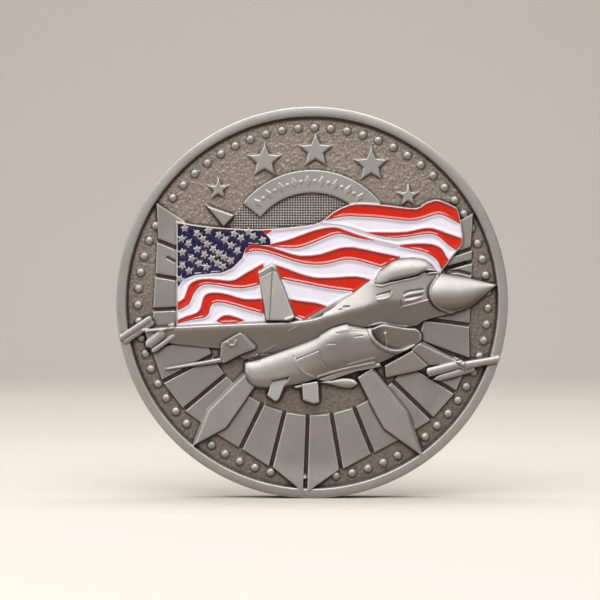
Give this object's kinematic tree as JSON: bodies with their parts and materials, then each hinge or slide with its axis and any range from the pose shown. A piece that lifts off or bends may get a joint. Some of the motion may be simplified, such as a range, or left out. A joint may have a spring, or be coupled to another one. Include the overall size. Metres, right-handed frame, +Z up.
{
  "type": "challenge coin",
  "caption": "Large round cast-metal coin with a raised rim, beads, sunburst rays, stars and an aircraft in relief over a waving flag filled with enamel.",
  "frame": {"origin": "the lowest point of the coin's edge, half way through the bounding box, where the coin stands upright", "axes": "+Z up along the coin's face, +X to the right as the sculpted face is seen, +Y from the sculpted face through to the back"},
  "size_m": [0.0634, 0.0064, 0.0634],
  "materials": {
    "antique_silver": "antique-plated, satin highs and dark patina in the recesses",
    "enamel_red": "glossy soft enamel",
    "enamel_white": "glossy soft enamel",
    "enamel_navy": "glossy soft enamel"
  },
  "bodies": {
    "root": {"coin_body": "antique_silver", "enamel_navy_canton": "enamel_navy", "enamel_red_stripe_1": "enamel_red", "enamel_red_stripe_1_rear": "enamel_red", "enamel_red_stripe_2": "enamel_red", "enamel_red_stripe_3": "enamel_red", "enamel_red_stripe_4": "enamel_red", "enamel_red_stripe_5": "enamel_red", "enamel_red_stripe_6_fore": "enamel_red", "enamel_red_stripe_6_rear": "enamel_red", "enamel_red_stripe_7_fore": "enamel_red", "enamel_red_stripe_7_rear": "enamel_red", "enamel_red_stripe_8_rear": "enamel_red", "enamel_white_field_1": "enamel_white", "enamel_white_field_2": "enamel_white", "enamel_white_field_3": "enamel_white", "enamel_white_field_4": "enamel_white", "enamel_white_field_5": "enamel_white", "enamel_white_field_6": "enamel_white", "enamel_white_field_7": "enamel_white"}
  },
  "joints": []
}
